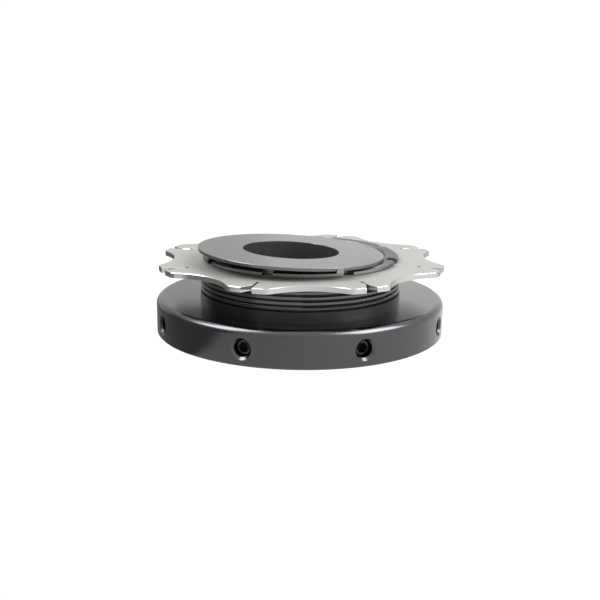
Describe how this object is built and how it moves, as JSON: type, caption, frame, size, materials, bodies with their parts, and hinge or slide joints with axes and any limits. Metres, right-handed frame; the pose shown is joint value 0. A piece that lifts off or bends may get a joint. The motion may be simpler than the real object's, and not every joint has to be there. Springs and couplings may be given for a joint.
{
  "type": "face mill",
  "caption": "Face mill: thick flanged body with rim balance screws, spacer-ring neck, slotted cutter plate, notched lock nut and a loose ring-shaped cover disc lying cocked on top.",
  "frame": {"origin": "centre of the body's back face, on the arbor axis, which is also the centre of the underside of the object's box", "axes": "+Z along the arbor axis from the back face towards the cutter plate and cover; -Y towards the front, between two balance screws"},
  "size_m": [0.125, 0.125, 0.0384],
  "materials": {
    "body_black": "black oxide on turned steel, satin",
    "hub_black": "black oxide on turned steel, satin",
    "ring_black": "black oxide, satin, faces ground",
    "plate_steel": "ground tool steel with bright edges",
    "nut_black": "black oxide worn to dark grey",
    "washer_steel": "plain spring steel",
    "clip_steel": "plain spring steel",
    "cover_black": "smooth black oxide, satin sheen",
    "screw_black": "black oxide, oiled",
    "pin_steel": "ground",
    "pellet_brass": "turned brass"
  },
  "bodies": {
    "mill_body": {"cutter_body": "body_black", "hub": "hub_black", "hub_screws": "screw_black", "spacer_ring_1": "ring_black", "spacer_ring_2": "ring_black", "spacer_ring_3": "ring_black", "spacer_ring_4": "ring_black", "spacer_ring_5": "ring_black", "cutter_plate": "plate_steel", "drive_pin_1": "pin_steel", "drive_pin_2": "pin_steel"},
    "washer": {"nut_washer": "washer_steel"},
    "nut": {"lock_nut": "nut_black", "retaining_ring": "clip_steel"},
    "cover": {"cover_disc": "cover_black"},
    "pellet_1": {"lock_pellet_1": "pellet_brass"},
    "screw_1": {"balance_screw_1": "screw_black"},
    "pellet_2": {"lock_pellet_2": "pellet_brass"},
    "screw_2": {"balance_screw_2": "screw_black"},
    "pellet_3": {"lock_pellet_3": "pellet_brass"},
    "screw_3": {"balance_screw_3": "screw_black"},
    "pellet_4": {"lock_pellet_4": "pellet_brass"},
    "screw_4": {"balance_screw_4": "screw_black"},
    "pellet_5": {"lock_pellet_5": "pellet_brass"},
    "screw_5": {"balance_screw_5": "screw_black"},
    "pellet_6": {"lock_pellet_6": "pellet_brass"},
    "screw_6": {"balance_screw_6": "screw_black"},
    "pellet_7": {"lock_pellet_7": "pellet_brass"},
    "screw_7": {"balance_screw_7": "screw_black"},
    "pellet_8": {"lock_pellet_8": "pellet_brass"},
    "screw_8": {"balance_screw_8": "screw_black"}
  },
  "joints": [
    {"name": "washer_travel", "type": "slide", "parent": "mill_body", "child": "washer", "axis": [0, 0, 1], "range_m": [0, 0.0015]},
    {"name": "nut_turn", "type": "hinge", "parent": "washer", "child": "nut", "pos_m": [0, 0, 0.0325], "axis": [0, 0, 1], "range_deg": [0, 360]},
    {"name": "cover_lift", "type": "slide", "parent": "nut", "child": "cover", "axis": [0, 0, 1], "range_m": [0, 0.03]},
    {"name": "pellet_travel_1", "type": "slide", "parent": "mill_body", "child": "pellet_1", "axis": [0.3827, -0.9239, 0], "range_m": [-0.00098, 0.00288]},
    {"name": "screw_turn_1", "type": "hinge", "parent": "pellet_1", "child": "screw_1", "pos_m": [0.02277, -0.05497, 0.0069], "axis": [0.3827, -0.9239, 0], "range_deg": [-285, 830]},
    {"name": "pellet_travel_2", "type": "slide", "parent": "mill_body", "child": "pellet_2", "axis": [0.9239, -0.3827, 0], "range_m": [-0.00098, 0.00288]},
    {"name": "screw_turn_2", "type": "hinge", "parent": "pellet_2", "child": "screw_2", "pos_m": [0.05497, -0.02277, 0.0069], "axis": [0.9239, -0.3827, 0], "range_deg": [-285, 830]},
    {"name": "pellet_travel_3", "type": "slide", "parent": "mill_body", "child": "pellet_3", "axis": [0.9239, 0.3827, 0], "range_m": [-0.00098, 0.00288]},
    {"name": "screw_turn_3", "type": "hinge", "parent": "pellet_3", "child": "screw_3", "pos_m": [0.05497, 0.02277, 0.0069], "axis": [0.9239, 0.3827, 0], "range_deg": [-285, 830]},
    {"name": "pellet_travel_4", "type": "slide", "parent": "mill_body", "child": "pellet_4", "axis": [0.3827, 0.9239, 0], "range_m": [-0.00098, 0.00288]},
    {"name": "screw_turn_4", "type": "hinge", "parent": "pellet_4", "child": "screw_4", "pos_m": [0.02277, 0.05497, 0.0069], "axis": [0.3827, 0.9239, 0], "range_deg": [-285, 830]},
    {"name": "pellet_travel_5", "type": "slide", "parent": "mill_body", "child": "pellet_5", "axis": [-0.3827, 0.9239, 0], "range_m": [-0.00098, 0.00288]},
    {"name": "screw_turn_5", "type": "hinge", "parent": "pellet_5", "child": "screw_5", "pos_m": [-0.02277, 0.05497, 0.0069], "axis": [-0.3827, 0.9239, 0], "range_deg": [-285, 830]},
    {"name": "pellet_travel_6", "type": "slide", "parent": "mill_body", "child": "pellet_6", "axis": [-0.9239, 0.3827, 0], "range_m": [-0.00098, 0.00288]},
    {"name": "screw_turn_6", "type": "hinge", "parent": "pellet_6", "child": "screw_6", "pos_m": [-0.05497, 0.02277, 0.0069], "axis": [-0.9239, 0.3827, 0], "range_deg": [-285, 830]},
    {"name": "pellet_travel_7", "type": "slide", "parent": "mill_body", "child": "pellet_7", "axis": [-0.9239, -0.3827, 0], "range_m": [-0.00098, 0.00288]},
    {"name": "screw_turn_7", "type": "hinge", "parent": "pellet_7", "child": "screw_7", "pos_m": [-0.05497, -0.02277, 0.0069], "axis": [-0.9239, -0.3827, 0], "range_deg": [-285, 830]},
    {"name": "pellet_travel_8", "type": "slide", "parent": "mill_body", "child": "pellet_8", "axis": [-0.3827, -0.9239, 0], "range_m": [-0.00098, 0.00288]},
    {"name": "screw_turn_8", "type": "hinge", "parent": "pellet_8", "child": "screw_8", "pos_m": [-0.02277, -0.05497, 0.0069], "axis": [-0.3827, -0.9239, 0], "range_deg": [-285, 830]}
  ],
  "couplings": [
    {"joint": "washer_travel", "follows": "nut_turn", "m_per_rad": 0.0002385},
    {"joint": "screw_turn_1", "follows": "pellet_travel_1", "rad_per_m": 5026.5},
    {"joint": "screw_turn_2", "follows": "pellet_travel_2", "rad_per_m": 5026.5},
    {"joint": "screw_turn_3", "follows": "pellet_travel_3", "rad_per_m": 5026.5},
    {"joint": "screw_turn_4", "follows": "pellet_travel_4", "rad_per_m": 5026.5},
    {"joint": "screw_turn_5", "follows": "pellet_travel_5", "rad_per_m": 5026.5},
    {"joint": "screw_turn_6", "follows": "pellet_travel_6", "rad_per_m": 5026.5},
    {"joint": "screw_turn_7", "follows": "pellet_travel_7", "rad_per_m": 5026.5},
    {"joint": "screw_turn_8", "follows": "pellet_travel_8", "rad_per_m": 5026.5}
  ]
}
